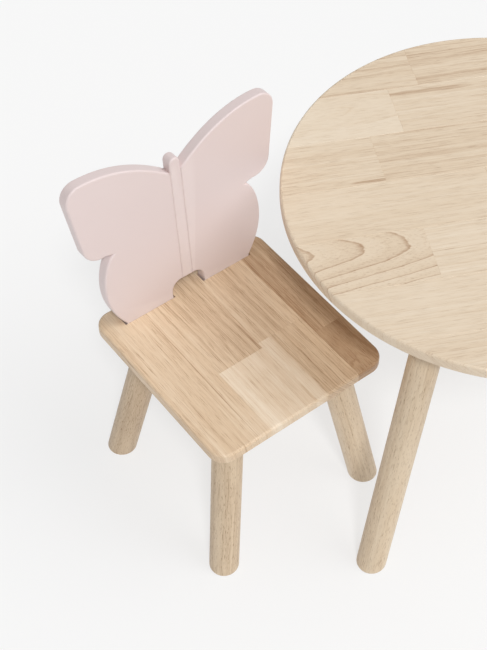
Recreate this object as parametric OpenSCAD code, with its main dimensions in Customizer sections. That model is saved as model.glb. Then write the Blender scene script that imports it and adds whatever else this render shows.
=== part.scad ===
// Child's play set: a round three-legged table and one chair with a butterfly back.
// Seat and table top are boards glued up from wood blocks; the legs are splayed dowels.
// The chair faces -Y. The origin is the middle of the set's footprint, on the floor.

/* [Table] */
// Diameter of the table top
table_d = 650; // [480:5:900]
// Height of the table top above the floor
table_h = 450; // [320:5:600]
// Thickness of the table top
table_t = 18; // [16:1:30]
// Direction of the table top's staves, measured from +X
table_stave_turn = -26; // [-90:1:90]
// From the table's rim to a leg's axis, at the underside
table_leg_inset = 60; // [45:1:110]
// Lean of a table leg, away from the middle
table_splay = 14.5; // [0:0.5:18]
// Direction of the first table leg, from the table's middle
table_leg_turn = -157; // [-180:1:-60]
// Rounding of the table top's edge
table_edge_r = 4; // [1:0.5:7]

/* [Chair seat] */
// Width of the seat
seat_w = 290; // [240:5:360]
// Depth of the seat
seat_d = 305; // [250:5:365]
// Height of the seat above the floor
seat_h = 290; // [220:5:360]
// Thickness of the seat
seat_t = 18; // [18:1:28]
// Radius of the seat's corners, seen from above
seat_corner_r = 25; // [10:1:40]
// Rounding of the seat's edges
seat_edge_r = 4; // [1:0.5:7]
// Width of one stave of the seat
seat_stave_w = 76.5; // [70:0.5:80]
// From the seat's middle line to the seam left of it
seat_seam_x = 59; // [50:1:70]
// From the seat's front or side edge to a leg's axis, at the underside
seat_leg_inset = 55; // [40:1:70]
// From the seat's rear edge to a rear leg's axis, at the underside
rear_leg_inset = 70; // [40:1:85]
// Lean of a chair leg, sideways and also forwards or backwards
seat_splay = 9.2; // [0:0.1:12]

/* [Legs] */
// Diameter of all legs
leg_d = 44; // [30:1:50]

/* [Butterfly back] */
// Width across the upper wings
back_w = 334; // [300:2:380]
// Height of the wings above the seat, along the board
back_h = 276; // [240:2:320]
// Thickness of the board
back_t = 18; // [14:1:18]
// Lean of the board, backwards
back_recline = 5; // [0:0.5:8]
// From the seat's rear edge to the board's front face
back_inset = 37; // [22:0.5:50]
// Rounding of an upper wing's tip
wing_tip_r = 24; // [16:1:30]
// Rounding of an upper wing's heel, below its tip
wing_heel_r = 28; // [20:1:30]
// Point of the notch between upper and lower wing, from the middle line
notch_x = 111; // [100:1:116]
// Height of that notch's point above the seat
notch_h = 137; // [125:1:150]
// Widest point of a lower wing, from the middle line
lower_wing_x = 133; // [126:1:145]
// Height of the lower wings' widest point above the seat
lower_wing_h = 73; // [65:1:95]
// Height at which the upper wings meet the body
neck_h = 222; // [205:1:230]
// Height of the top of the butterfly's head
head_h = 244; // [236:1:256]
// Width of the butterfly's body, between its two grooves
body_w = 17; // [12:1:24]
// Depth of the body's V-shaped grooves
groove_depth = 1.6; // [0.5:0.1:2.5]
// Inner end of a tab, from the middle line
tab_inner_x = 28; // [20:1:34]
// Outer end of a tab, from the middle line
tab_outer_x = 108; // [90:1:112]
// How far the tabs go down into the seat
tab_depth = 9; // [6:0.5:10]
// Height of the finger arch between the tabs
arch_h = 27; // [18:1:32]

/* [Fits] */
// Gap between a slot's long walls and its tab
slot_side_gap = 0.3; // [0.1:0.1:0.6]
// Gap between a slot's ends and its tab
slot_end_gap = 3; // [0.5:0.1:4]
// Gap under a tab, and round each bolt and insert in wood
wood_gap = 0.1; // [0.05:0.05:0.3]

/* [Hardware] */
// Diameter of a hanger bolt, which joins a leg to its board
hanger_d = 8; // [6:1:8]
// Length of a hanger bolt inside the leg
hanger_in_leg = 42; // [25:1:60]
// Outer diameter of a hanger bolt's threaded insert
insert_d = 12; // [10:0.5:14]
// Length of a hanger bolt's threaded insert
insert_l = 12; // [8:0.5:12]
// Diameter of a back bolt
back_bolt_d = 6; // [5:1:6]
// Length of a back bolt under its head
back_bolt_l = 20; // [18:1:24]
// Diameter of a back bolt's flat head
back_head_d = 13; // [11:0.5:14]
// Thickness of a back bolt's flat head
back_head_t = 2; // [1.5:0.5:2.5]
// Outer diameter of a back bolt's insert
back_insert_d = 9; // [8:0.5:9]
// Length of a back bolt's insert
back_insert_l = 13; // [9:0.5:14]

/* [Places] */
// Direction from the seat's middle to the table's middle
table_way = -17.65; // [-25:0.05:-10]
// From the seat's middle to the table's rim, in that direction
table_rim_gap = 82; // [70:1:300]

/* [Hidden] */
// End joints along each table stave, from the table's middle line
table_joints = [[40], [60], [-146, 130], [-30, 200], [-171, 90], [-120, 150], [-72, 120]];
// End joint along each seat stave, from the seat's middle; a stave with none is whole
seat_joints = [[], [-34.5], [-24.5], [-57.5]];
// Where the back bolts stand along X
back_bolt_x = [-84, -46, 46, 84];
// Wood left between a slot's floor and a back bolt's head
head_seat_depth = tab_depth + 6;
// Side of the square whose corner cuts a V groove
groove_side = groove_depth * sqrt(2);
// Outline of the butterfly: how its heels and arch stand to its other points
heel_set_in = 11.5;
heel_rise = 3;
tip_start = 94;
heel_end = -98;
arch_lean = 1.5;
arch_corner_r = 15;
// Taper at the end of a hanger bolt
bolt_point = 6;
// Height of an insert's foot above the underside, clear of the tilted hole's mouth
insert_foot = 1.6;
// Free depth above an insert
insert_top_gap = 0.6;
// Depth of a back insert's hole, clear of the insert and of the bolt's end
back_hole_depth = insert_top_gap + max(back_insert_l, back_bolt_l + tab_depth - head_seat_depth);
// Play between a thread and its insert, across
thread_gap = 0.1;
// Play round a back bolt in the seat
bolt_clearance = 0.3;
// Hex socket in a back bolt's head, across its corners and deep
hex_key_d = 4.6;
hex_key_depth = 3;
// Roundness of the shapes that are hulled
hull_fn = 32;
// Overshoot of every cut
over = 1;
// Past every edge of the set
big = 3 * (table_d + seat_w);

table_r = table_d / 2;
table_stave_w = table_d / len(table_joints);
table_under = table_h - table_t;
seat_under = seat_h - seat_t;
table_leg_r = table_r - table_leg_inset;
table_foot_r = table_leg_r + table_under * tan(table_splay);
table_leg_az = [for (k = [0:2]) table_leg_turn + 120 * k];
seat_signs = [[1, 1], [-1, 1], [-1, -1], [1, -1]];
seat_leg_x = seat_w / 2 - seat_leg_inset;
front_leg_y = -(seat_d / 2 - seat_leg_inset);
rear_leg_y = seat_d / 2 - rear_leg_inset;
// A chair leg leans along the diagonal, so its slope is that of both leans together
seat_leg_tilt = atan(sqrt(2) * tan(seat_splay));
seat_seams = [-seat_seam_x, seat_stave_w - seat_seam_x, 2 * seat_stave_w - seat_seam_x];
back_y = seat_d / 2 - back_inset;

// Half the width along X of a round leg's flat foot, for the leg's lean and direction
function foot_half_w(tilt, az) = leg_d / 2 * norm([cos(az) / cos(tilt), sin(az)]);

// The set's footprint, from the seat's middle
table_x = (table_rim_gap + table_r) * cos(table_way);
table_y = (table_rim_gap + table_r) * sin(table_way);
seat_foot_reach = seat_under * tan(seat_splay) + foot_half_w(seat_leg_tilt, 45);
chair_half_w = max(back_w / 2, seat_w / 2, seat_leg_x + seat_foot_reach);
chair_rear = max(back_y + back_h * sin(back_recline) + back_t * cos(back_recline),
    seat_d / 2, rear_leg_y + seat_foot_reach);
chair_front = min(-seat_d / 2, front_leg_y - seat_foot_reach);
// Reach of the table along X when dir is 0 and along Y when it is 90, towards either side
function table_reach(dir, side) = max(table_r, max([
    for (a = table_leg_az)
        side * table_foot_r * cos(a - dir) + foot_half_w(table_splay, a - dir)
]));
x_low = min(-chair_half_w, table_x - table_reach(0, -1));
x_high = max(chair_half_w, table_x + table_reach(0, 1));
y_low = min(chair_front, table_y - table_reach(90, -1));
y_high = max(chair_rear, table_y + table_reach(90, 1));

wood = "BurlyWood";
dark_wood = "Tan";
paint = "MistyRose";
steel = "Silver";
$fn = 96;

function letter(j) = chr(97 + j);
function table_block_name(i, j) = str("table_stave_", i + 1, letter(j));
function seat_block_name(i, j) = str("seat_stave_", i + 1, letter(j));
function count(list) = [0:len(list) - 1];
chair_leg_names = ["chair_leg_rear_right", "chair_leg_rear_left",
    "chair_leg_front_left", "chair_leg_front_right"];
table_leg_names = [for (k = count(table_leg_az)) str("table_leg_", k + 1)];

// Points along a circle's arc, and along a curve with two guide points
function arc(centre, r, from, to, steps = 10) =
    [for (k = [0:steps]) let (a = from + (to - from) * k / steps) centre + r * [cos(a), sin(a)]];
function curve(a, b, c, d, steps = 12) =
    [for (k = [1:steps]) let (t = k / steps, s = 1 - t)
        s * s * s * a + 3 * s * s * t * b + 3 * s * t * t * c + t * t * t * d];
function mirrored(points) = [for (k = [len(points) - 1:-1:0]) [-points[k].x, points[k].y]];
// Direction that two circles' common outer tangent faces, on their +X side
function tangent_turn(c1, r1, c2, r2) =
    let (d = c1 - c2) atan2(d.y, d.x) - acos((r2 - r1) / norm(d));

// --- places ---

// From the seat's middle on the floor to the part's own origin
module chair_place() translate([-(x_low + x_high) / 2, -(y_low + y_high) / 2, 0]) children();

module table_place() chair_place() translate([table_x, table_y, 0]) children();

// A leg's own axis: its zero is where the axis meets the board's underside, +Z points up the leg
module along_leg(top, tilt, az) translate(top) rotate([0, -tilt, az]) children();

module each_table_leg(legs = count(table_leg_az)) for (k = legs)
    along_leg([table_leg_r * cos(table_leg_az[k]), table_leg_r * sin(table_leg_az[k]), table_under],
        table_splay, table_leg_az[k]) children();

module each_chair_leg(legs = count(seat_signs)) for (k = legs)
    along_leg([seat_signs[k].x * seat_leg_x, seat_signs[k].y > 0 ? rear_leg_y : front_leg_y, seat_under],
        seat_leg_tilt, atan2(seat_signs[k].y, seat_signs[k].x)) children();

// The back board's own frame: its front face is Y = 0 and the seat's top is Z = 0
module back_place() chair_place() board_frame() children();

module board_frame() translate([0, back_y, seat_h]) rotate([-back_recline, 0, 0]) children();

// --- shapes shared by table and chair ---

// Profile of a round-edged disc, for turning
module disc_profile(r, t, edge_r) polygon(concat(
    [[0, 0]],
    arc([r - edge_r, edge_r], edge_r, -90, 0, 6),
    arc([r - edge_r, t - edge_r], edge_r, 0, 90, 6),
    [[0, t]]
));

// A splayed dowel, cut level at the floor and at the board's underside
module leg(height, tilt) {
    difference() {
        intersection() {
            translate([0, 0, -height / cos(tilt) - leg_d])
                cylinder(d = leg_d, h = height / cos(tilt) + 2 * leg_d);
            rotate([0, tilt, 0]) translate([-height - leg_d, -leg_d, -height])
                cube([2 * height + 2 * leg_d, 2 * leg_d, height]);
        }
        translate([0, 0, -hanger_in_leg - bolt_point])
            cylinder(d = hanger_d + 2 * wood_gap, h = hanger_in_leg + bolt_point + leg_d);
    }
}

// The insert's hole in a board, from the underside up
module insert_hole() translate([0, 0, -insert_d])
    cylinder(d = insert_d + 2 * wood_gap, h = insert_d + insert_foot + insert_l + insert_top_gap);

module insert() translate([0, 0, insert_foot]) difference() {
    cylinder(d = insert_d, h = insert_l);
    translate([0, 0, -over]) cylinder(d = hanger_d + thread_gap, h = insert_l + 2 * over);
}

// A hanger bolt: a pointed wood screw in the leg, a machine screw in the insert
module hanger_bolt() {
    translate([0, 0, -hanger_in_leg + bolt_point])
        cylinder(d = hanger_d, h = hanger_in_leg - bolt_point + insert_l);
    translate([0, 0, -hanger_in_leg])
        cylinder(d1 = hanger_d / 4, d2 = hanger_d, h = bolt_point);
}

// --- table ---

module table_disc() translate([0, 0, table_under])
    rotate_extrude() disc_profile(table_r, table_t, table_edge_r);

// Block j of stave i, between its stave's seams and its end joints
module table_block(i, j) {
    joints = table_joints[i];
    from = j == 0 ? -big : joints[j - 1];
    to = j == len(joints) ? big : joints[j];
    color(wood) table_place() difference() {
        intersection() {
            table_disc();
            rotate([0, 0, table_stave_turn])
                translate([from, -table_r + i * table_stave_w, table_under - over])
                    cube([to - from, table_stave_w, table_t + 2 * over]);
        }
        each_table_leg() insert_hole();
    }
}

module table_leg(k) color(dark_wood) table_place() each_table_leg([k]) leg(table_under, table_splay);

module table_leg_bolts() color(steel) table_place() each_table_leg() hanger_bolt();

module table_leg_inserts() color(steel) table_place() each_table_leg() insert();

// --- chair ---

module seat_plate() translate([0, 0, seat_under]) hull() for (s = seat_signs)
    translate([s.x * (seat_w / 2 - seat_corner_r), s.y * (seat_d / 2 - seat_corner_r), 0])
        rotate_extrude($fn = hull_fn) disc_profile(seat_corner_r, seat_t, seat_edge_r);

// A slot for one tab of the back, side is 1 on the right and -1 on the left
module back_slot(side) {
    length = tab_outer_x - tab_inner_x + 2 * slot_end_gap;
    translate([side * (tab_inner_x + tab_outer_x) / 2 - length / 2, -slot_side_gap, -tab_depth - wood_gap])
        cube([length, back_t + 2 * slot_side_gap, tab_depth + seat_t]);
}

// Holes for the back's bolts and, from below, for their heads
module back_bolt_holes() for (x = back_bolt_x) translate([x, back_t / 2, -2 * seat_t]) {
    cylinder(d = back_bolt_d + 2 * bolt_clearance, h = 2 * seat_t);
    cylinder(d = back_head_d + 2 * bolt_clearance, h = 2 * seat_t - head_seat_depth);
}

// Block j of the seat's stave i, counted from the left and from the front
module seat_block(i, j) {
    joints = seat_joints[i];
    left = i == 0 ? -big : seat_seams[i - 1];
    right = i == len(seat_seams) ? big : seat_seams[i];
    front = j == 0 ? -big : joints[j - 1];
    rear = j == len(joints) ? big : joints[j];
    color(wood) chair_place() difference() {
        intersection() {
            seat_plate();
            translate([left, front, seat_under - over])
                cube([right - left, rear - front, seat_t + 2 * over]);
        }
        each_chair_leg() insert_hole();
        board_frame() {
            back_slot(-1);
            back_slot(1);
            back_bolt_holes();
        }
    }
}

module chair_leg(k) color(dark_wood) chair_place() each_chair_leg([k]) leg(seat_under, seat_leg_tilt);

module chair_leg_bolts() color(steel) chair_place() each_chair_leg() hanger_bolt();

module chair_leg_inserts() color(steel) chair_place() each_chair_leg() insert();

// Right half of the butterfly's outline, from the head down to the arch's top
function half_butterfly() =
    let (
        tip = [back_w / 2 - wing_tip_r, back_h - wing_tip_r],
        heel = [back_w / 2 - wing_heel_r - heel_set_in, notch_h + wing_heel_r + heel_rise],
        turn = tangent_turn(tip, wing_tip_r, heel, wing_heel_r),
        neck = [body_w / 2, neck_h],
        tip_top = tip + wing_tip_r * [cos(tip_start), sin(tip_start)],
        notch = [notch_x, notch_h],
        belly = [lower_wing_x, lower_wing_h],
        root = [tab_outer_x, 0],
        arch_side = [tab_inner_x - arch_lean, arch_h - arch_corner_r]
    )
    concat(
        arc([0, head_h - body_w / 2], body_w / 2, 90, 0),
        [neck],
        curve(neck, neck + [40, 34], tip_top - [48, -1], tip_top),
        arc(tip, wing_tip_r, tip_start, turn),
        arc(heel, wing_heel_r, turn, heel_end),
        [notch],
        curve(notch, notch + [13, -6], belly + [0.5, 28], belly),
        curve(belly, belly - [0.5, 28], root + [14, 20], root),
        [[tab_outer_x, -tab_depth], [tab_inner_x, -tab_depth], [tab_inner_x, 0]],
        arc(arch_side - [arch_corner_r, 0], arch_corner_r, 0, 90)
    );

module butterfly_back() color(paint) back_place() difference() {
    translate([0, back_t, 0]) rotate([90, 0, 0]) linear_extrude(back_t)
        polygon(concat(half_butterfly(), mirrored(half_butterfly())));
    for (side = [-1, 1]) translate([side * body_w / 2, 0, arch_h - over]) rotate([0, 0, 45])
        translate([-groove_side / 2, -groove_side / 2, 0])
            cube([groove_side, groove_side, neck_h - arch_h + over]);
    for (x = back_bolt_x) translate([x, back_t / 2, -tab_depth - over])
        cylinder(d = back_insert_d + 2 * wood_gap, h = over + back_hole_depth);
}

module back_bolts() color(steel) back_place() for (x = back_bolt_x)
    translate([x, back_t / 2, -head_seat_depth]) difference() {
        union() {
            translate([0, 0, -back_head_t]) cylinder(d = back_head_d, h = back_head_t);
            cylinder(d = back_bolt_d, h = back_bolt_l);
        }
        translate([0, 0, -back_head_t - over])
            cylinder(d = hex_key_d, h = hex_key_depth + over, $fn = 6);
    }

module back_inserts() color(steel) back_place() for (x = back_bolt_x)
    translate([x, back_t / 2, -tab_depth]) difference() {
        cylinder(d = back_insert_d, h = back_insert_l);
        translate([0, 0, -over]) cylinder(d = back_bolt_d + thread_gap, h = back_insert_l + 2 * over);
    }

for (i = count(table_joints), j = [0:len(table_joints[i])])
    table_block(i, j);
for (k = count(table_leg_names)) table_leg(k);
table_leg_bolts();
table_leg_inserts();
for (i = count(seat_joints), j = [0:len(seat_joints[i])])
    seat_block(i, j);
for (k = count(chair_leg_names)) chair_leg(k);
chair_leg_bolts();
chair_leg_inserts();
butterfly_back();
back_bolts();
back_inserts();
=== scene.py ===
"""Looks of a child's play set: a round three-legged table and one chair with a butterfly back.

Sizes are in metres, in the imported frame: +Z up, the chair facing -Y, and the origin on the floor at
the middle of the set's footprint. The wooden pieces and the painted back are modelled here and stand
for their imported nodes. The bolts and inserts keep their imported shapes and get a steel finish.
"""

import logging
import math
from collections.abc import Callable, Iterator, Sequence
from contextlib import contextmanager
from dataclasses import dataclass, field
from enum import Enum

import bmesh
import bpy
from mathutils import Matrix, Vector


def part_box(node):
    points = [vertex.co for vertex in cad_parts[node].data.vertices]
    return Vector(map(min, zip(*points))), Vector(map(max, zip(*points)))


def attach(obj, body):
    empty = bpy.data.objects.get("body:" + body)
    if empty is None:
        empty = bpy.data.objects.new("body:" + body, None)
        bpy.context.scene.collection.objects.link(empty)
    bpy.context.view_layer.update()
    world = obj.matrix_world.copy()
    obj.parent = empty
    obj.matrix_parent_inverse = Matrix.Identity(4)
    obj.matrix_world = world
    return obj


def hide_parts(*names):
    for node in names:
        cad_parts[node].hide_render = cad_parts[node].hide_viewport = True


log = logging.getLogger("play_set")
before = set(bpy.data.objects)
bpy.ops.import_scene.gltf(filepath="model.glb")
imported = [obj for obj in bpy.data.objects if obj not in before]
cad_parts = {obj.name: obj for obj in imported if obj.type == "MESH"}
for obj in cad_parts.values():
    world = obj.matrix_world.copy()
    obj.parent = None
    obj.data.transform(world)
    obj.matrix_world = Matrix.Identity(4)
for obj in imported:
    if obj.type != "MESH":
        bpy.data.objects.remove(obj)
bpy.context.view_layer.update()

# How far a cut runs past the wood, and how near two places are to count as one.
OVER = 0.005
NEAR = 1e-5

# The first block of each kind in the row of timber, and how far one block is from the next.
TABLE_LOT, SEAT_LOT, LEG_LOT = 0, 20, 40
LOT_GAP = 3.7

Piece = bpy.types.Object
Edge = bmesh.types.BMEdge
EdgeTest = Callable[[Edge], bool]
Finish = bpy.types.Material
Socket = bpy.types.NodeSocket
Colour = tuple[float, float, float]
Point = tuple[float, float]
Hole = tuple[float, float, float]
Seam = tuple[Vector, Vector]


# --- joinery: the moves that shape every piece ---


def turned(degrees: float, axis: str) -> Matrix:
    """A turn about one axis."""
    return Matrix.Rotation(math.radians(degrees), 4, axis)


def heading(degrees: float) -> Vector:
    """The direction at an angle from +X, in a plane."""
    turn = math.radians(degrees)
    return Vector((math.cos(turn), math.sin(turn)))


def pick_only(piece: Piece) -> None:
    """Selects one piece alone and makes it active."""
    bpy.ops.object.select_all(action="DESELECT")
    piece.select_set(True)
    bpy.context.view_layer.objects.active = piece


def settle(name: str) -> Piece:
    """Names the primitive just added and moves its place and turn into its mesh.

    Args:
        name: The piece's name.

    Returns:
        The piece, with its object at the origin.
    """
    piece = bpy.context.object
    piece.name = name
    piece.data.name = name
    pick_only(piece)
    bpy.ops.object.transform_apply(location=True, rotation=True, scale=True)
    return piece


@contextmanager
def editing(piece: Piece, kind: str = "EDGE") -> Iterator[None]:
    """Opens a piece in edit mode with nothing selected, and closes it again.

    Args:
        piece: The piece to edit.
        kind: What is selected: VERT, EDGE or FACE.
    """
    pick_only(piece)
    bpy.ops.object.mode_set(mode="EDIT")
    bpy.ops.mesh.select_mode(type=kind)
    bpy.ops.mesh.select_all(action="DESELECT")
    try:
        yield
    finally:
        bpy.ops.object.mode_set(mode="OBJECT")


def all_ends(edge: Edge, test: Callable[[Vector], bool]) -> bool:
    """Whether both ends of an edge pass a test on their place."""
    return all(test(corner.co) for corner in edge.verts)


def at_height(height: float) -> EdgeTest:
    """Makes a test for edges that lie at one height."""
    return lambda edge: all_ends(edge, lambda co: abs(co.z - height) < NEAR)


def is_corner(edge: Edge, least: float = 0.5) -> bool:
    """Whether two faces meet at an edge at more than the least angle, in radians."""
    return edge.is_manifold and edge.calc_face_angle(0.0) > least


def ease(piece: Piece, wanted: EdgeTest, radius: float, steps: int) -> None:
    """Rounds the chosen edges of a piece.

    Args:
        piece: The piece to round.
        wanted: Says whether an edge is rounded.
        radius: Radius of the rounding.
        steps: How many strips of faces the rounding has.
    """
    with editing(piece):
        mesh = bmesh.from_edit_mesh(piece.data)
        for edge in mesh.edges:
            edge.select_set(wanted(edge))
        mesh.select_flush_mode()
        bmesh.update_edit_mesh(piece.data)
        bpy.ops.mesh.bevel(offset=radius, segments=steps, affect="EDGES", clamp_overlap=False)


def saw(piece: Piece, point: Vector, away: Vector) -> None:
    """Saws a piece along a plane, drops the side that faces away and closes the cut.

    Args:
        piece: The piece to saw.
        point: A point on the plane.
        away: The plane's normal, towards the side that is dropped.
    """
    with editing(piece, "FACE"):
        bpy.ops.mesh.select_all(action="SELECT")
        bpy.ops.mesh.bisect(plane_co=point, plane_no=away, use_fill=True, clear_outer=True)


def carve(piece: Piece, tool: Piece) -> None:
    """Takes a tool's shape out of a piece and throws the tool away."""
    cut = piece.modifiers.new("carve", "BOOLEAN")
    cut.operation = "DIFFERENCE"
    cut.solver = "MANIFOLD"
    cut.object = tool
    pick_only(piece)
    bpy.ops.object.modifier_apply(modifier=cut.name)
    bpy.data.objects.remove(tool)


def rod(name: str, place: Matrix, radius: float, start: float, end: float, sides: int) -> Piece:
    """Adds a round rod along the Z axis of a place, from its start to its end."""
    middle = place @ Matrix.Translation((0, 0, (start + end) / 2))
    bpy.ops.mesh.primitive_cylinder_add(
        vertices=sides,
        radius=radius,
        depth=end - start,
        location=middle.to_translation(),
        rotation=middle.to_euler(),
    )
    return settle(name)


def drill(piece: Piece, place: Matrix, radius: float, start: float, end: float) -> None:
    """Drills a round hole along the Z axis of a place.

    Args:
        piece: The piece to drill.
        place: Where the hole's axis stands.
        radius: Radius of the hole.
        start: Where the hole starts along the axis.
        end: Where the hole ends along the axis.
    """
    carve(piece, rod("drill", place, radius, start, end, 32))


def rout(piece: Piece, place: Matrix, low: Vector, high: Vector) -> None:
    """Routs a box-shaped pocket, given by two corners in a place's own axes."""
    middle = place @ Matrix.Translation((low + high) / 2)
    bpy.ops.mesh.primitive_cube_add(
        size=1, location=middle.to_translation(), rotation=middle.to_euler(), scale=high - low
    )
    carve(piece, settle("router"))


def copy_piece(piece: Piece, name: str) -> Piece:
    """Copies a piece with a mesh of its own."""
    pick_only(piece)
    bpy.ops.object.duplicate(linked=False)
    twin = bpy.context.object
    twin.name = name
    twin.data.name = name
    return twin


def smooth(piece: Piece, angle: float = 35) -> None:
    """Shades a piece smooth below an angle in degrees, with its flat faces kept flat."""
    pick_only(piece)
    bpy.ops.object.shade_smooth_by_angle(angle=math.radians(angle))
    weighing = piece.modifiers.new("weighing", "WEIGHTED_NORMAL")
    weighing.keep_sharp = True
    bpy.ops.object.modifier_apply(modifier=weighing.name)


def hand_over(piece: Piece, node: str, body: str, finish: Finish) -> None:
    """Dresses a finished piece, puts it in its node's place and logs it.

    Args:
        piece: The finished piece.
        node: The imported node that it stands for.
        body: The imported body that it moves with.
        finish: The piece's material.
    """
    piece.data.materials.clear()
    piece.data.materials.append(finish)
    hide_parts(node)
    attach(piece, body)
    log.info("%s: %d faces, rides on %s", piece.name, len(piece.data.polygons), body)


def extent(start: str) -> tuple[Vector, Vector]:
    """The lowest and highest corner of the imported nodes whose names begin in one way."""
    corners = [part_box(name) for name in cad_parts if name.startswith(start)]
    low = Vector(min(box[0][axis] for box in corners) for axis in range(3))
    high = Vector(max(box[1][axis] for box in corners) for axis in range(3))
    return low, high


# --- the timber that a block or dowel is cut from ---


class Figure(Enum):
    """How a block was sawn: the pith's place from the block's middle, and the grain's run-out.

    The values are the distance to the side, the depth below the face and the rise along the grain.
    """

    QUARTER = (0.300, 0.060, 0.000)
    RIFT = (0.130, 0.120, 0.006)
    FLAT = (0.015, 0.140, 0.020)
    CATHEDRAL = (0.028, 0.0766, 0.120)


@dataclass(frozen=True)
class Cut:
    """One block's timber.

    Attributes:
        tone: From 0, the palest, to 1, the darkest; on the seat blocks beside the table it also holds
            painted shade.
        figure: How the block was sawn.
        rings: How strongly the growth rings show.
        stripes: How strongly the stripes along the grain show.
        stain: Middle along the grain, middle across it, half length, half width and strength of a
            streak, from the board's own middle. It is dark, or pale where the strength is below 0.
    """

    tone: float
    figure: Figure = Figure.RIFT
    rings: float = 0.15
    stripes: float = 0.5
    stain: tuple[float, float, float, float, float] = (0, 0, 1, 1, 0)


def lay_grain(piece: Piece, board: Matrix, middle: Vector, cut: Cut, order: int) -> None:
    """Stores on each point of a piece where it lay in its tree.

    Args:
        piece: The finished piece.
        board: Where the grain's axes stand: X along it, Y across it and Z out of the face.
        middle: The block's middle in those axes.
        cut: The block's timber.
        order: The block's number, which sets its stretch of the tree.
    """
    side, depth, rise = cut.figure.value
    along, across, half_length, half_width, strength = cut.stain
    to_board = board.inverted()
    stretch = LOT_GAP * order
    mesh = piece.data
    layers = {
        name: mesh.attributes.new(name, "FLOAT_VECTOR", "POINT") for name in ("grain", "timber", "stain")
    }
    for point in mesh.vertices:
        spot = to_board @ point.co
        run = spot.x - middle.x
        layers["grain"].data[point.index].vector = (
            spot.x + stretch,
            spot.y - middle.y - side,
            spot.z + depth + rise * run,
        )
        layers["timber"].data[point.index].vector = (cut.tone, cut.rings, cut.stripes)
        layers["stain"].data[point.index].vector = (
            (spot.x - along) / half_length,
            (spot.y - across) / half_width,
            strength,
        )


# --- finishes ---


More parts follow.
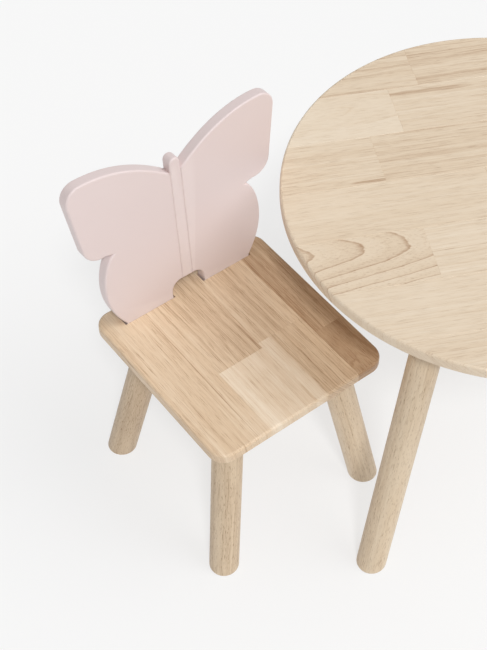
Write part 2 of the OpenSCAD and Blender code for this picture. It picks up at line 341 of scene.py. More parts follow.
class Recipe:
    """A material's nodes, while they are put together."""

    def __init__(self, name: str) -> None:
        """Starts an empty material with a Principled shader.

        Args:
            name: The material's name.
        """
        self.material = bpy.data.materials.new(name)
        self.material.use_nodes = True
        self.tree = self.material.node_tree
        self.tree.nodes.clear()
        self.output = self.tree.nodes.new("ShaderNodeOutputMaterial")
        self.shader = self.tree.nodes.new("ShaderNodeBsdfPrincipled")
        self.tree.links.new(self.shader.outputs[0], self.output.inputs["Surface"])

    def add(self, kind: str, **settings: object) -> bpy.types.Node:
        """Adds a node and sets its own settings."""
        node = self.tree.nodes.new("ShaderNode" + kind)
        for name, value in settings.items():
            setattr(node, name, value)
        return node

    def plug(self, socket: Socket, value: Socket | float | Sequence[float]) -> None:
        """Links a value into a socket, or sets it where it is a plain number or colour."""
        if isinstance(value, bpy.types.NodeSocket):
            self.tree.links.new(value, socket)
        else:
            socket.default_value = value

    def attribute(self, name: str) -> Socket:
        """Reads a vector stored on the piece's points."""
        return self.add("Attribute", attribute_name=name).outputs["Vector"]

    def place(self) -> Socket:
        """Reads the piece's own coordinates, in metres."""
        return self.add("TexCoord").outputs["Object"]

    def parts(self, vector: Socket) -> tuple[Socket, Socket, Socket]:
        """Splits a vector into its three numbers."""
        node = self.add("SeparateXYZ")
        self.plug(node.inputs[0], vector)
        return node.outputs[0], node.outputs[1], node.outputs[2]

    def together(self, x: Socket | float, y: Socket | float, z: Socket | float) -> Socket:
        """Makes a vector of three numbers."""
        node = self.add("CombineXYZ")
        for socket, value in zip(node.inputs, (x, y, z)):
            self.plug(socket, value)
        return node.outputs[0]

    def scaled(self, vector: Socket, factors: Sequence[float]) -> Socket:
        """Multiplies a vector by three factors."""
        node = self.add("VectorMath", operation="MULTIPLY")
        self.plug(node.inputs[0], vector)
        self.plug(node.inputs[1], factors)
        return node.outputs[0]

    def sum_up(self, kind: str, *numbers: Socket | float) -> Socket:
        """Does one sum on up to three numbers."""
        node = self.add("Math", operation=kind)
        for socket, value in zip(node.inputs, numbers):
            self.plug(socket, value)
        return node.outputs[0]

    def times(self, a: Socket, b: Socket | float) -> Socket:
        """Multiplies two numbers."""
        return self.sum_up("MULTIPLY", a, b)

    def plus(self, base: Socket, value: Socket, share: Socket | float) -> Socket:
        """Adds a share of a value to a base."""
        return self.sum_up("MULTIPLY_ADD", value, share, base)

    def about_zero(self, value: Socket) -> Socket:
        """Moves a noise's mean from 0.5 to zero."""
        return self.sum_up("SUBTRACT", value, 0.5)

    def noise(self, vector: Socket, detail: float = 2.0, roughness: float = 0.5) -> Socket:
        """Noise from 0 to 1 about its mean of 0.5."""
        node = self.add("TexNoise")
        self.plug(node.inputs["Vector"], vector)
        self.plug(node.inputs["Scale"], 1.0)
        self.plug(node.inputs["Detail"], detail)
        self.plug(node.inputs["Roughness"], roughness)
        return node.outputs["Fac"]

    def spread(
        self, value: Socket, low: float, high: float, to_low: float = 0.0, to_high: float = 1.0
    ) -> Socket:
        """Maps a range of a number smoothly onto another, and holds it there."""
        node = self.add("MapRange", interpolation_type="SMOOTHSTEP")
        for socket, number in zip(node.inputs, (value, low, high, to_low, to_high)):
            self.plug(socket, number)
        return node.outputs[0]

    def ramp(self, value: Socket, stops: Sequence[tuple[float, Colour]]) -> Socket:
        """Turns a number into a colour between stops."""
        node = self.add("ValToRGB")
        bar = node.color_ramp.elements
        while len(bar) < len(stops):
            bar.new(0.5)
        for mark, (position, colour) in zip(bar, stops):
            mark.position = position
            mark.color = (*colour, 1)
        self.plug(node.inputs[0], value)
        return node.outputs[0]

    def blend(self, share: Socket, a: Socket | Colour, b: Socket | Colour) -> Socket:
        """Blends two colours."""
        node = self.add("Mix", data_type="RGBA", blend_type="MIX")
        self.plug(node.inputs[0], share)
        for socket, colour in ((node.inputs[6], a), (node.inputs[7], b)):
            self.plug(socket, colour if isinstance(colour, bpy.types.NodeSocket) else (*colour, 1))
        return node.outputs[2]

    def bumped(self, height: Socket, depth: float) -> Socket:
        """A surface normal raised by a height, whose full depth is in metres."""
        node = self.add("Bump")
        self.plug(node.inputs["Strength"], 1.0)
        self.plug(node.inputs["Distance"], depth)
        self.plug(node.inputs["Height"], height)
        return node.outputs[0]

    def finish(self, **sockets: Socket | float | Sequence[float]) -> Finish:
        """Fills the shader's sockets by name, with underscores for spaces.

        Args:
            **sockets: What goes into each socket.

        Returns:
            The finished material.
        """
        for name, value in sockets.items():
            self.plug(self.shader.inputs[name.replace("_", " ")], value)
        return self.material


def from_screen(red: int, green: int, blue: int) -> Colour:
    """A linear colour from one given as it shows on a screen, 0 to 255."""
    shares = (level / 255 for level in (red, green, blue))
    return tuple(s / 12.92 if s <= 0.04045 else ((s + 0.055) / 1.055) ** 2.4 for s in shares)


@dataclass(frozen=True)
class LacqueredWood:
    """Pale close-grained hardwood under a thin matt lacquer.

    Attributes:
        name: The material's name.
        palest: Colour of the palest timber.
        middle: Colour of the usual timber.
        darkest: Colour of the darkest timber.
        ring_gap: Distance between growth rings.
        ring_sway: How far the rings wander over a hand's breadth.
        ring_ripple: How far they wander over a finger's breadth.
        clouds: How strongly its broad clouds show.
        flecks: How strongly its short flecks show.
        fibres: How strongly its fibres show.
        pores: How dark the pores are.
        pore_length: Length of a pore along the grain.
        pore_width: Width of a pore.
        pore_depth: Depth of a pore.
        stain_stray: How far a streak's edges follow the rings' wander.
        roughness: Roughness of the lacquer.
        coat: Weight and roughness of the lacquer's sheen.
    """

    name: str
    palest: Colour
    middle: Colour
    darkest: Colour
    ring_gap: float = 0.0085
    ring_sway: float = 0.007
    ring_ripple: float = 0.0014
    clouds: float = 0.22
    flecks: float = 0.26
    fibres: float = 0.16
    pores: float = 0.22
    pore_length: float = 0.030
    pore_width: float = 1 / 1300
    pore_depth: float = 0.00012
    stain_stray: float = 2.2
    roughness: float = 0.5
    coat: tuple[float, float] = (0.12, 0.32)

    def ring_radius(self, mix: Recipe, grain: Socket, sway: Socket) -> Socket:
        """Distance from the pith, with the rings' wander."""
        _, across, through = mix.parts(grain)
        ripple = mix.about_zero(mix.noise(mix.scaled(grain, (38, 150, 150)), 2, 0.6))
        squares = mix.sum_up("ADD", mix.times(across, across), mix.times(through, through))
        radius = mix.plus(mix.sum_up("SQRT", squares), sway, self.ring_sway)
        return mix.plus(radius, ripple, self.ring_ripple)

    def late_wood(self, mix: Recipe, radius: Socket) -> Socket:
        """Darkness through one ring: a slow rise, a dark line and a sharp end."""
        share = mix.sum_up("FRACT", mix.sum_up("DIVIDE", radius, self.ring_gap))
        slow_rise = mix.times(mix.spread(share, 0.15, 0.95), 0.35)
        dark_line = mix.plus(slow_rise, mix.spread(share, 0.84, 0.96), 0.65)
        return mix.times(dark_line, mix.spread(share, 0.965, 1.0, 1.0, 0.0))

    def stain(self, mix: Recipe, sway: Socket) -> Socket:
        """The block's own streak, soft at its edges."""
        along, across, strength = mix.parts(mix.attribute("stain"))
        stray = mix.plus(across, sway, self.stain_stray)
        length_share = mix.sum_up("POWER", mix.sum_up("ABSOLUTE", along), 4.0)
        reach = mix.sum_up("ADD", length_share, mix.times(stray, stray))
        return mix.times(mix.spread(reach, 0.0, 1.6, 1.0, 0.0), strength)

    def build(self) -> Finish:
        """Makes the material: rings, stripes, pores and streaks, all in the tree's own axes."""
        mix = Recipe(self.name)
        grain = mix.attribute("grain")
        tone, rings, stripes = mix.parts(mix.attribute("timber"))
        along = mix.parts(grain)[0]
        sway = mix.about_zero(mix.noise(mix.scaled(grain, (5, 26, 26)), 2))
        radius = self.ring_radius(mix, grain, sway)

        def striped(across: float, along_scale: float, seed: float, detail: float, rough: float) -> Socket:
            """Noise in stripes that follow the rings, with its scale across them and along them."""
            spot = mix.together(mix.times(radius, across), mix.times(along, along_scale), seed)
            return mix.noise(spot, detail, rough)

        bands = striped(95, 1.5, 0.0, 3, 0.55)
        lines = striped(520, 4.0, 3.0, 2, 0.6)
        threads = mix.spread(striped(1150, 9.0, 8.0, 2, 0.55), 0.54, 0.70)
        clouds = mix.noise(mix.scaled(grain, (7, 17, 17)), 3)
        flecks = mix.noise(mix.scaled(grain, (42, 620, 620)), 2, 0.6)
        fibres = mix.noise(mix.scaled(grain, (160, 2600, 2600)), 2, 0.6)
        pore_scale = (1 / self.pore_length, 1 / self.pore_width, 1 / self.pore_width)
        pores = mix.spread(mix.noise(mix.scaled(grain, pore_scale), 1), 0.60, 0.70)

        layers = (
            (mix.about_zero(bands), stripes),
            (mix.about_zero(lines), mix.times(stripes, 0.6)),
            (threads, mix.times(stripes, 0.38)),
            (mix.about_zero(clouds), self.clouds),
            (mix.about_zero(flecks), self.flecks),
            (mix.about_zero(fibres), self.fibres),
            (self.late_wood(mix, radius), rings),
            (pores, self.pores),
            (self.stain(mix, sway), 1.0),
        )
        shade = tone
        for layer, strength in layers:
            shade = mix.plus(shade, layer, strength)

        height = mix.plus(mix.times(fibres, 0.35), pores, -1.0)
        gloss = mix.spread(lines, 0.2, 0.8, self.roughness - 0.05, self.roughness + 0.05)
        return mix.finish(
            Base_Color=mix.ramp(shade, ((0.0, self.palest), (0.45, self.middle), (1.0, self.darkest))),
            Roughness=mix.plus(gloss, pores, 0.12),
            Normal=mix.bumped(height, self.pore_depth),
            IOR=1.48,
            Coat_Weight=self.coat[0],
            Coat_Roughness=self.coat[1],
        )


@dataclass(frozen=True)
class SatinPaint:
    """Sprayed satin paint over a routed board.

    Attributes:
        name: The material's name.
        colour: Colour of the paint.
        paler_colour: A paler colour that faint clouds drift towards and that convex edges take half of.
        roughness: Roughness of the paint.
        peel_depth: Depth of the orange peel that a spray gun leaves.
    """

    name: str
    colour: Colour
    paler_colour: Colour
    roughness: float = 0.4
    peel_depth: float = 0.00006

    def build(self) -> Finish:
        """Makes the paint, with its orange peel and its edges paler where they are convex."""
        mix = Recipe(self.name)
        place = mix.place()
        cloud = mix.noise(mix.scaled(place, (9, 9, 9)), 3)
        peel = mix.noise(mix.scaled(place, (420, 420, 420)), 2, 0.45)
        fine = mix.noise(mix.scaled(place, (2600, 2600, 2600)), 1)
        # Pointiness marks the convex edges, which are drawn half way to the paler colour.
        edge = mix.spread(mix.add("NewGeometry").outputs["Pointiness"], 0.52, 0.60)
        body = mix.blend(mix.spread(cloud, 0.3, 0.7, 0.0, 0.10), self.colour, self.paler_colour)
        colour = mix.blend(mix.times(edge, 0.5), body, self.paler_colour)
        height = mix.plus(peel, fine, 0.2)
        return mix.finish(
            Base_Color=colour,
            Roughness=mix.spread(peel, 0.3, 0.7, self.roughness - 0.03, self.roughness + 0.05),
            Normal=mix.bumped(height, self.peel_depth),
            IOR=1.5,
        )


@dataclass(frozen=True)
class ZincedSteel:
    """Bright zinc-plated steel, for the bolts and inserts."""

    name: str
    colour: Colour
    dull_share: float = 0.78
    mark_depth: float = 0.00002

    def build(self) -> Finish:
        """Makes the plating, with its clouded grain and turning marks."""
        mix = Recipe(self.name)
        place = mix.place()
        cloud = mix.noise(mix.scaled(place, (500, 500, 500)), 3)
        marks = mix.noise(mix.scaled(place, (900, 900, 6000)), 2)
        dull = tuple(self.dull_share * level for level in self.colour)
        colour = mix.blend(mix.spread(cloud, 0.35, 0.65), self.colour, dull)
        return mix.finish(
            Base_Color=colour,
            Metallic=1.0,
            Roughness=mix.spread(cloud, 0.3, 0.7, 0.24, 0.42),
            Normal=mix.bumped(marks, self.mark_depth),
        )


@dataclass(frozen=True)
class StudioFloor:
    """The studio's pale floor, which glows a little so that shadows on it stay light.

    Attributes:
        name: The material's name.
        glow: Light that the floor gives by itself.
        share: Share of the lamps' light that it sends back.
    """

    name: str
    glow: float
    share: float

    def build(self) -> Finish:
        """Makes the floor's material."""
        mix = Recipe(self.name)
        return mix.finish(
            Base_Color=(self.share, self.share, self.share, 1),
            Roughness=1.0,
            Specular_IOR_Level=0.0,
            Emission_Color=(1, 1, 1, 1),
            Emission_Strength=self.glow,
        )


# --- pieces ---


@dataclass(frozen=True)
class Dowels:
    """Splayed round legs under one board, all of one height and lean.

    Attributes:
        centre: The board's middle on the floor.
        under: Height of the board's underside.
        tilt: Lean from upright, in degrees.
        tops: Where the legs' axes meet the underside, from the centre, as X, Y and azimuth.
        nodes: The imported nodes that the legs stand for, in the same order.
        body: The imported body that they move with.
        tones: The legs' timber, from pale to dark.
        diameter: Diameter of a leg.
        foot_edge: Rounding at the foot.
        shoulder_edge: Rounding under the board.
        bolt_hole: Radius, start and end of the bolt's hole, along the leg from the underside.
        insert_hole: The same for the insert's hole in the board.
        figure: The legs' rings and stripes, as in a Cut.
        grain_turn: Turn of the grain from one leg to the next, in degrees.
    """

    centre: Vector
    under: float
    tilt: float
    tops: Sequence[tuple[float, float, float]]
    nodes: Sequence[str]
    body: str
    tones: Sequence[float]
    diameter: float = 0.044
    foot_edge: float = 0.0025
    shoulder_edge: float = 0.0006
    bolt_hole: Hole = (0.0041, -0.048, 0.044)
    insert_hole: Hole = (0.0061, -0.012, 0.0142)
    figure: tuple[float, float] = (0.12, 0.55)
    grain_turn: float = 57

    def place(self, top: tuple[float, float, float]) -> Matrix:
        """The axes of one leg: zero at the underside, +Z up the leg."""
        x, y, azimuth = top
        corner = Matrix.Translation(self.centre + Vector((x, y, self.under)))
        return corner @ turned(azimuth, "Z") @ turned(-self.tilt, "Y")

    def build(self, finish: Finish) -> None:
        """Turns, levels and drills the legs.

        Args:
            finish: The legs' wood.
        """
        length = self.under / math.cos(math.radians(self.tilt)) + 2 * self.diameter
        for order, (top, node, tone) in enumerate(zip(self.tops, self.nodes, self.tones)):
            place = self.place(top)
            name = node.replace("leg", "dowel")
            leg = rod(name, place, self.diameter / 2, self.diameter - length, self.diameter, 72)
            saw(leg, Vector((0, 0, self.under)), Vector((0, 0, 1)))
            saw(leg, Vector((0, 0, 0)), Vector((0, 0, -1)))
            ease(leg, at_height(0), self.foot_edge, 5)
            ease(leg, at_height(self.under), self.shoulder_edge, 2)
            drill(leg, place, *self.bolt_hole)
            smooth(leg)
            grain = place @ turned(-90, "Y") @ turned(self.grain_turn * order, "X")
            cut = Cut(tone, Figure.RIFT, *self.figure)
            lay_grain(leg, grain, Vector((-self.under / 2, 0, 0)), cut, LEG_LOT + order)
            hand_over(leg, node, self.body, finish)

    def bore(self, board: Piece) -> None:
        """Drills the holes for the legs' inserts into a board from below."""
        for top in self.tops:
            drill(board, self.place(top), *self.insert_hole)


@dataclass
class Board:
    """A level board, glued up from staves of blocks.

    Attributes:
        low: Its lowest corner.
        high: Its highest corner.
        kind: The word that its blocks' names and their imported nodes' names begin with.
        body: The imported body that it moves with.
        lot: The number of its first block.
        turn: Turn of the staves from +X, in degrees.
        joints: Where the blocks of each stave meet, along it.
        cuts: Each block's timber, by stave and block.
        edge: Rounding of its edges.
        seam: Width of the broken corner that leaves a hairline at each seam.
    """

    low: Vector
    high: Vector
    kind: str = ""
    body: str = ""
    lot: int = 0
    turn: float = 0.0
    joints: Sequence[Sequence[float]] = ()
    cuts: dict[str, Cut] = field(default_factory=dict)
    edge: float = 0.004
    seam: float = 0.00018

    @property
    def centre(self) -> Vector:
        """The board's middle, on the floor."""
        return Vector(((self.low.x + self.high.x) / 2, (self.low.y + self.high.y) / 2, 0))

    @property
    def grain(self) -> Matrix:
        """The staves' axes: X along them, Y across them, Z up from the top face."""
        return Matrix.Translation(self.centre + Vector((0, 0, self.high.z))) @ turned(self.turn, "Z")

    def cut_free(self, whole: Piece, name: str, seams: Sequence[Seam]) -> Piece:
        """Saws one block out of the whole board and breaks its sawn corners.

        Args:
            whole: The whole board.
            name: The block's name.
            seams: A point on each sawn face, and the way that the face looks.

        Returns:
            The block.
        """
        block = copy_piece(whole, name)
        for point, away in seams:
            saw(block, point, away)

        def on_a_seam(edge: Edge) -> bool:
            """Whether an edge is a corner of a sawn face."""
            return is_corner(edge, 0.9) and any(
                all_ends(edge, lambda co: abs((co - point).dot(away)) < NEAR) for point, away in seams
            )

        ease(block, on_a_seam, self.seam, 1)
        smooth(block)
        return block

    def build_blocks(self, whole: Piece, reach: float, sides: Sequence[float], wood: Finish) -> None:
        """Saws the whole board into its blocks and finishes them.

        Args:
            whole: The whole board, which is thrown away afterwards.
            reach: From the board's middle to the staves' ends.
            sides: Where the staves' sides are, across the grain, from one rim to the other.
            wood: The blocks' wood.
        """
        order = self.lot
        for stave, (joints, near, far) in enumerate(zip(self.joints, sides, sides[1:])):
            ends = (-reach, *joints, reach)
            way = math.copysign(1, far - near)
            for letter, first, last in zip("abc", ends, ends[1:]):
                seams = [
                    (self.grain @ Vector(point), self.grain.to_3x3() @ Vector(away))
                    for point, away, is_inside in (
                        ((0, near, 0), (0, -way, 0), near in sides[1:-1]),
                        ((0, far, 0), (0, way, 0), far in sides[1:-1]),
                        ((first, 0, 0), (-1, 0, 0), first in joints),
                        ((last, 0, 0), (1, 0, 0), last in joints),
                    )
                    if is_inside
                ]
                tag = f"{stave + 1}{letter}"
                block = self.cut_free(whole, f"{self.kind}_block_{tag}", seams)
                middle = Vector(((first + last) / 2, (near + far) / 2, 0))
                lay_grain(block, self.grain, middle, self.cuts[tag], order)
                hand_over(block, f"{self.kind}_stave_{tag}", self.body, wood)
                order += 1
        bpy.data.objects.remove(whole)


@dataclass
class RoundTable(Board):
    """The table: seven staves of blocks under a turned rim, on three legs."""

    kind: str = "table"
    body: str = "table"
    lot: int = TABLE_LOT
    turn: float = -26.0
    joints: Sequence[Sequence[float]] = (
        (0.040,),
        (0.060,),
        (-0.146, 0.130),
        (-0.030, 0.200),
        (-0.171, 0.090),
        (-0.120, 0.150),
        (-0.072, 0.120),
    )
    leg_inset: float = 0.060
    leg_tilt: float = 14.5
    leg_turn: float = -157.0
    cuts: dict[str, Cut] = field(
        default_factory=lambda: {
            "1a": Cut(0.34),
            "1b": Cut(0.42, Figure.FLAT, 0.18),
            "2a": Cut(0.30, Figure.QUARTER, 0.1, 0.35),
            "2b": Cut(0.46),
            "3a": Cut(0.34, Figure.CATHEDRAL, 0.40, 0.25),
            "3b": Cut(0.30, Figure.QUARTER),
            "3c": Cut(0.44, Figure.FLAT, 0.20),
            "4a": Cut(0.34, Figure.RIFT, 0.06, 0.35),
            "4b": Cut(0.42, Figure.RIFT),
            "4c": Cut(0.30, Figure.QUARTER),
            "5a": Cut(0.36, Figure.RIFT, 0.12, 0.55, (-0.190, 0.052, 0.030, 0.0026, 0.30)),
            "5b": Cut(0.42, Figure.QUARTER, 0.12, 0.6),
            "5c": Cut(0.40, Figure.FLAT, 0.18),
            "6a": Cut(0.20, Figure.FLAT, 0.05, 0.45),
            "6b": Cut(0.34, Figure.RIFT, 0.1, 0.5, (-0.070, 0.219, 0.075, 0.0045, 0.28)),
            "6c": Cut(0.40),
            "7a": Cut(0.40, Figure.RIFT, 0.12, 0.6, (-0.185, 0.234, 0.060, 0.005, 0.13)),
            "7b": Cut(0.44, Figure.RIFT, 0.15, 0.65),
            "7c": Cut(0.33),
        }
    )

    @property
    def radius(self) -> float:
        """Radius of the table top."""
        return (self.high.x - self.low.x) / 2

    @property
    def legs(self) -> Dowels:
        """The table's three legs."""
        reach = self.radius - self.leg_inset
        tops = []
        for k in range(3):
            azimuth = self.leg_turn + 120 * k
            turn = math.radians(azimuth)
            tops.append((reach * math.cos(turn), reach * math.sin(turn), azimuth))
        return Dowels(
            centre=self.centre,
            under=self.low.z,
            tilt=self.leg_tilt,
            tops=tops,
            nodes=[f"table_leg_{k}" for k in (1, 2, 3)],
            body=self.body,
            tones=(0.34, 0.36, 0.40),
        )

    def turn_disc(self) -> Piece:
        """Turns the whole top: a disc with a rounded rim and the inserts' holes."""
        middle = self.centre + Vector((0, 0, (self.low.z + self.high.z) / 2))
        bpy.ops.mesh.primitive_cylinder_add(
            vertices=256, radius=self.radius, depth=self.high.z - self.low.z, location=middle
        )
        disc = settle("table_disc")
        ease(disc, is_corner, self.edge, 6)
        self.legs.bore(disc)
        return disc

    def build(self, wood: Finish, leg_wood: Finish) -> None:
        """Makes the table's blocks and legs.

        Args:
            wood: The top's wood.
            leg_wood: The legs' wood.
        """
        count = len(self.joints)
        sides = [-self.radius + stave * (2 * self.radius / count) for stave in range(count + 1)]
        self.build_blocks(self.turn_disc(), self.radius, sides, wood)
        self.legs.build(leg_wood)


@dataclass
class ButterflyChair(Board):
    """The chair: a seat glued up from four staves, four legs and a painted butterfly back."""

    kind: str = "seat"
    body: str = "chair"
    lot: int = SEAT_LOT
    turn: float = 90.0
    corner: float = 0.025
    glue_lines: Sequence[float] = (-0.059, 0.0175, 0.094)
    joints: Sequence[Sequence[float]] = ((), (-0.0345,), (-0.0245,), (-0.0575,))
    leg_inset: float = 0.055
    rear_leg_inset: float = 0.070
    splay: float = 9.2
    back_inset: float = 0.037
    recline: float = 5.0
    back_thickness: float = 0.018
    tab_inner: float = 0.028
    tab_outer: float = 0.108
    tab_depth: float = 0.009
    slot_side_gap: float = 0.0003
    slot_end_gap: float = 0.003
    slot_floor_gap: float = 0.0001
    bolt_xs: Sequence[float] = (-0.084, -0.046, 0.046, 0.084)
    shank_hole: Hole = (0.0033, -0.030, 0.0)
    head_hole: Hole = (0.0068, -0.030, -0.015)
    cuts: dict[str, Cut] = field(
        default_factory=lambda: {
            "1a": Cut(0.38, Figure.QUARTER, 0.12, 0.55, (-0.02, 0.079, 0.13, 0.0006, 0.38)),
            "2a": Cut(0.20, Figure.QUARTER, 0.12, 0.55, (-0.09, 0.050, 0.12, 0.012, -0.14)),
            "2b": Cut(0.45, Figure.RIFT, 0.16, 0.6),
            "3a": Cut(0.44, Figure.RIFT, 0.24, 0.55, (-0.09, -0.027, 0.12, 0.012, -0.42)),
            "3b": Cut(0.40, Figure.RIFT, 0.18, 0.6),
            # Blocks 4a and 4b lie beside the table: their dark tones are partly the timber and partly
            # painted shade from the table top.
            "4a": Cut(0.79, Figure.FLAT, 0.14, 0.5),
            "4b": Cut(0.67, Figure.RIFT, 0.16, 0.55),
        }
    )

    @property
    def half(self) -> Vector:
        """Half the seat's width, depth and thickness."""
        return (self.high - self.low) / 2

    @property
    def back_place(self) -> Matrix:
        """The back board's axes: its front face is Y = 0 and the seat's top is Z = 0."""
        front = self.half.y - self.back_inset
        return Matrix.Translation(self.centre + Vector((0, front, self.high.z))) @ turned(-self.recline, "X")

    @property
    def legs(self) -> Dowels:
        """The chair's four legs, which lean along the seat's diagonals."""
        side = self.half.x - self.leg_inset
        rows = {1: self.half.y - self.rear_leg_inset, -1: self.leg_inset - self.half.y}
        corners = (
            ("rear_right", 1, 1),
            ("rear_left", -1, 1),
            ("front_left", -1, -1),
            ("front_right", 1, -1),
        )
        return Dowels(
            centre=self.centre,
            under=self.low.z,
            tilt=math.degrees(math.atan(math.sqrt(2) * math.tan(math.radians(self.splay)))),
            tops=[(x * side, rows[y], math.degrees(math.atan2(y, x))) for _, x, y in corners],
            nodes=[f"chair_leg_{corner}" for corner, _, _ in corners],
            body=self.body,
            tones=(0.46, 0.56, 0.45, 0.33),
        )

    def shape_seat(self) -> Piece:
        """Shapes the whole seat, with its rounded corners and edges, slots and holes."""
        size = self.high - self.low
        bpy.ops.mesh.primitive_cube_add(size=1, location=(self.low + self.high) / 2, scale=size)
        seat = settle("seat_board")

        def upright(edge: Edge) -> bool:
            """Whether an edge stands at a corner of the seat."""
            return abs(edge.verts[0].co.z - edge.verts[1].co.z) > size.z / 2

        ease(seat, upright, self.corner, 14)
        ease(seat, lambda edge: not upright(edge) and is_corner(edge), self.edge, 6)
        for side in (-1, 1):
            inner = side * (self.tab_inner - self.slot_end_gap)
            outer = side * (self.tab_outer + self.slot_end_gap)
            rout(
                seat,
                self.back_place,
                Vector((min(inner, outer), -self.slot_side_gap, -self.tab_depth - self.slot_floor_gap)),
                Vector((max(inner, outer), self.back_thickness + self.slot_side_gap, OVER)),
            )
        for x in self.bolt_xs:
            place = self.back_place @ Matrix.Translation((x, self.back_thickness / 2, 0))
            drill(seat, place, *self.shank_hole)
            drill(seat, place, *self.head_hole)
        self.legs.bore(seat)
        return seat

    def build(self, wood: Finish, leg_wood: Finish, paint: Finish) -> None:
        """Makes the seat's blocks, the legs and the back.

        Args:
            wood: The seat's wood.
            leg_wood: The legs' wood.
            paint: The back's paint.
        """
        sides = [self.half.x, *(-line for line in self.glue_lines), -self.half.x]
        self.build_blocks(self.shape_seat(), self.half.y, sides, wood)
        self.legs.build(leg_wood)
        ButterflyBack(self.back_place, self.back_thickness, self.bolt_xs).build(paint)


def arc(centre: Vector, radius: float, start: float, end: float, steps: int = 12) -> list[Vector]:
    """Points along a circle's arc, between two directions in degrees."""
    turns = [start + (end - start) * k / steps for k in range(steps + 1)]
    return [centre + radius * heading(turn) for turn in turns]


def curve(a: Vector, b: Vector, c: Vector, d: Vector, steps: int = 24) -> list[Vector]:
    """Points along a curve from a to d, guided by b and c, without a itself."""
    shares = [k / steps for k in range(1, steps + 1)]
    return [
        (1 - t) ** 3 * a + 3 * (1 - t) ** 2 * t * b + 3 * (1 - t) * t * t * c + t**3 * d for t in shares
    ]


@dataclass(frozen=True)
class ButterflyBack:
    """The painted back board, in the shape of a butterfly.

    The outline's sizes are from the board's middle and up from the seat's top. A pull is the way
    from an end of a curve to the point that guides it there.

    Attributes:
        place: The board's axes: front face at Y = 0, seat top at Z = 0.
        thickness: Thickness of the board.
        bolt_xs: Where its bolts stand.
    """

    place: Matrix
    thickness: float
    bolt_xs: Sequence[float]
    width: float = 0.334
    height: float = 0.276
    tip_radius: float = 0.024
    tip_start: float = 94
    tip_pull: Point = (-0.048, 0.001)
    heel_radius: float = 0.028
    heel_end: float = -98
    heel_inset: float = 0.0115
    heel_rise: float = 0.003
    notch: Point = (0.111, 0.137)
    notch_pull: Point = (0.013, -0.006)
    belly: Point = (0.133, 0.073)
    belly_pull: Point = (0.0005, 0.028)
    root_pull: Point = (0.014, 0.020)
    neck_height: float = 0.222
    head_height: float = 0.244
    neck_pull: Point = (0.040, 0.034)
    body_width: float = 0.017
    groove_depth: float = 0.0016
    tab: tuple[float, float, float] = (0.028, 0.108, 0.009)
    arch_height: float = 0.027
    arch_radius: float = 0.015
    arch_inset: float = 0.0015
    insert_hole: Hole = (0.0046, -0.010, 0.0146)
    edge: float = 0.0028

    def half_outline(self) -> list[Vector]:
        """The right half of the outline, from the head down to the top of the arch."""
        tip = Vector((self.width / 2 - self.tip_radius, self.height - self.tip_radius))
        notch = Vector(self.notch)
        belly = Vector(self.belly)
        belly_pull = Vector(self.belly_pull)
        heel_x = self.width / 2 - self.heel_radius - self.heel_inset
        heel = Vector((heel_x, notch.y + self.heel_radius + self.heel_rise))
        lean = tip - heel
        flank = math.acos((self.heel_radius - self.tip_radius) / lean.length)
        turn = math.degrees(math.atan2(lean.y, lean.x) - flank)
        head = Vector((0, self.head_height - self.body_width / 2))
        neck = Vector((self.body_width / 2, self.neck_height))
        tip_top = tip + self.tip_radius * heading(self.tip_start)
        inner, outer, depth = self.tab
        root = Vector((outer, 0))
        arch = Vector((inner - self.arch_inset - self.arch_radius, self.arch_height - self.arch_radius))
        return [
            *arc(head, self.body_width / 2, 90, 0),
            neck,
            *curve(neck, neck + Vector(self.neck_pull), tip_top + Vector(self.tip_pull), tip_top),
            *arc(tip, self.tip_radius, self.tip_start, turn)[1:],
            *arc(heel, self.heel_radius, turn, self.heel_end),
            notch,
            *curve(notch, notch + Vector(self.notch_pull), belly + belly_pull, belly),
            *curve(belly, belly - belly_pull, root + Vector(self.root_pull), root),
            Vector((outer, -depth)),
            Vector((inner, -depth)),
            Vector((inner, 0)),
            *arc(arch, self.arch_radius, 0, 90),
        ]

    def outline(self) -> list[Vector]:
        """The whole outline, clockwise from the top of the head."""
        half = self.half_outline()
        return half + [Vector((-point.x, point.y)) for point in reversed(half[1:])]

    def saw_board(self) -> Piece:
        """Saws the board to its outline and rounds its edges above the tabs."""
        points = self.outline()
        bpy.ops.mesh.primitive_circle_add(vertices=len(points), radius=1)
        board = settle("butterfly_board")
        for corner, point in zip(board.data.vertices, points):
            corner.co = Vector((point.x, 0, point.y))
        with editing(board):
            bpy.ops.mesh.select_all(action="SELECT")
            bpy.ops.mesh.edge_face_add()
            bpy.ops.mesh.extrude_region_move(TRANSFORM_OT_translate={"value": (0, self.thickness, 0)})
            bpy.ops.mesh.select_all(action="SELECT")
            bpy.ops.mesh.normals_make_consistent(inside=False)

        def on_rim(edge: Edge) -> bool:
            """Whether an edge runs along a face of the board, above the tabs."""
            flat = abs(edge.verts[0].co.y - edge.verts[1].co.y) < NEAR
            return flat and all_ends(edge, lambda co: co.z > -NEAR) and not at_height(0)(edge)

        ease(board, on_rim, self.edge, 6)
        return board

    def build(self, paint: Finish) -> None:
        """Makes the board, with its two grooves and its bolts' holes.

        Args:
            paint: The board's paint.
        """
        board = self.saw_board()
        side = self.groove_depth * math.sqrt(2)
        low = Vector((-side / 2, -side / 2, self.arch_height - OVER))
        high = Vector((side / 2, side / 2, self.neck_height))
        for x in (-self.body_width / 2, self.body_width / 2):
            rout(board, Matrix.Translation((x, 0, 0)) @ turned(45, "Z"), low, high)
        for x in self.bolt_xs:
            drill(board, Matrix.Translation((x, self.thickness / 2, 0)), *self.insert_hole)
        board.data.transform(self.place)
        smooth(board, 40)
        hand_over(board, "butterfly_back", "chair", paint)


# --- the studio ---


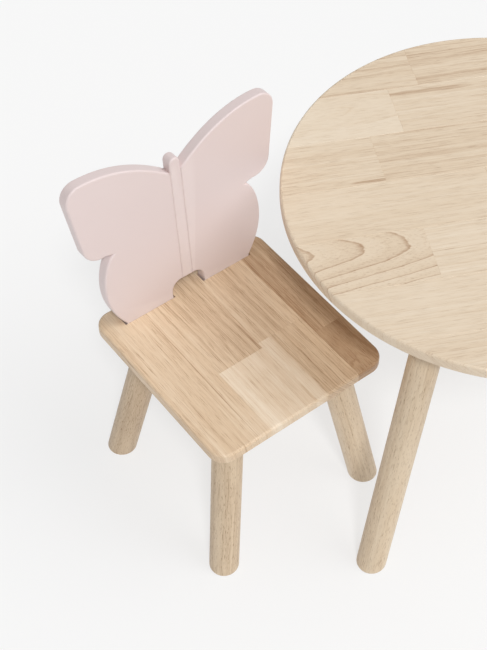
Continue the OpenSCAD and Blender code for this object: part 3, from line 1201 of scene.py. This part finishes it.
@dataclass(frozen=True)
class Lamp:
    """One far light.

    Attributes:
        name: The light's name.
        way: The direction towards it: the angle from +X and the height, in degrees.
        strength: How bright it is, in watts on a square metre.
        softness: How wide it looks, in degrees.
    """

    name: str
    way: tuple[float, float]
    strength: float
    softness: float

    def hang(self) -> None:
        """Adds the light to the scene."""
        light = bpy.data.lights.new(self.name, "SUN")
        light.energy = self.strength
        light.angle = math.radians(self.softness)
        lamp = bpy.data.objects.new(self.name, light)
        bpy.context.scene.collection.objects.link(lamp)
        angle, height = (math.radians(value) for value in self.way)
        flat = math.cos(height)
        towards = Vector((flat * math.cos(angle), flat * math.sin(angle), math.sin(height)))
        lamp.location = 4 * towards
        lamp.rotation_euler = towards.to_track_quat("Z", "Y").to_euler()


@dataclass(frozen=True)
class Studio:
    """Floor, lights and camera.

    Attributes:
        aim: The point that the camera looks at.
        distance: From the camera to that point.
        azimuth: The camera's direction, 0 looking along +Y and 90 along -X.
        elevation: The camera's height angle.
        roll: The camera's own turn.
        lens: Focal length in millimetres, for a sensor 36 mm long.
        lamps: The sharper light from the front left and the soft one from the front right.
        ambient: Light that comes from all round.
        floor: The floor's finish.
        floor_size: Length of the floor's sides, which lie far beyond the picture.
    """

    aim: Vector = Vector((-0.2320, 0.1278, 0.25))
    distance: float = 1.986
    azimuth: float = -37.21
    elevation: float = 50.73
    roll: float = -0.14
    lens: float = 75.67
    lamps: tuple[Lamp, ...] = (
        Lamp("key_light", way=(-118.0, 53.0), strength=1.38, softness=9),
        Lamp("side_light", way=(-39.0, 50.0), strength=1.48, softness=48),
    )
    ambient: float = 0.308
    floor: StudioFloor = StudioFloor("floor_white", glow=0.668, share=0.26)
    floor_size: float = 400

    def set_camera(self) -> None:
        """Stands the camera and makes it the scene's own."""
        turn, height = math.radians(self.azimuth), math.radians(self.elevation)
        flat = math.cos(height)
        look = Vector((-math.sin(turn) * flat, math.cos(turn) * flat, -math.sin(height)))
        data = bpy.data.cameras.new("camera")
        data.lens = self.lens
        camera = bpy.data.objects.new("camera", data)
        bpy.context.scene.collection.objects.link(camera)
        aim = look.to_track_quat("-Z", "Y").to_matrix().to_4x4()
        camera.matrix_world = (
            Matrix.Translation(self.aim - self.distance * look) @ aim @ turned(self.roll, "Z")
        )
        bpy.context.scene.camera = camera

    def build(self) -> None:
        """Lays the floor, hangs the lights and stands the camera."""
        bpy.ops.object.select_all(action="DESELECT")
        bpy.ops.mesh.primitive_plane_add(size=self.floor_size)
        floor = settle("studio_floor")
        floor.data.materials.append(self.floor.build())
        for lamp in self.lamps:
            lamp.hang()
        world = bpy.data.worlds.new("studio")
        world.use_nodes = True
        background = world.node_tree.nodes["Background"].inputs
        background["Color"].default_value = (1, 1, 1, 1)
        background["Strength"].default_value = self.ambient
        bpy.context.scene.world = world
        bpy.context.scene.view_settings.view_transform = "Standard"
        self.set_camera()


def dress_hardware(steel: Finish) -> None:
    """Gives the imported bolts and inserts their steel."""
    for name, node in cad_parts.items():
        if name.endswith(("bolts", "inserts")):
            for slot in node.material_slots:
                slot.material = steel
            log.info("%s: kept, in steel", name)


def main() -> None:
    """Makes the finishes, then the table, the chair, the hardware and the studio."""
    logging.basicConfig(level=logging.INFO, format="%(name)s: %(message)s")
    table_wood = LacqueredWood(
        "table_wood",
        palest=from_screen(240, 226, 206),
        middle=from_screen(224, 204, 178),
        darkest=from_screen(168, 130, 98),
    ).build()
    seat_wood = LacqueredWood(
        "seat_wood",
        palest=from_screen(240, 223, 200),
        middle=from_screen(220, 194, 163),
        darkest=from_screen(156, 118, 84),
        pores=0.28,
    ).build()
    leg_wood = LacqueredWood(
        "leg_wood",
        palest=from_screen(234, 218, 194),
        middle=from_screen(213, 191, 162),
        darkest=from_screen(158, 128, 98),
        ring_gap=0.009,
        pores=0.42,
        pore_length=0.009,
    ).build()
    paint = SatinPaint("back_paint", from_screen(224, 208, 206), from_screen(233, 219, 217)).build()
    steel = ZincedSteel("steel", (0.62, 0.62, 0.64)).build()

    RoundTable(*extent("table_stave")).build(table_wood, leg_wood)
    ButterflyChair(*extent("seat_stave")).build(seat_wood, leg_wood, paint)
    dress_hardware(steel)
    Studio().build()


if __name__ == "__main__":
    main()
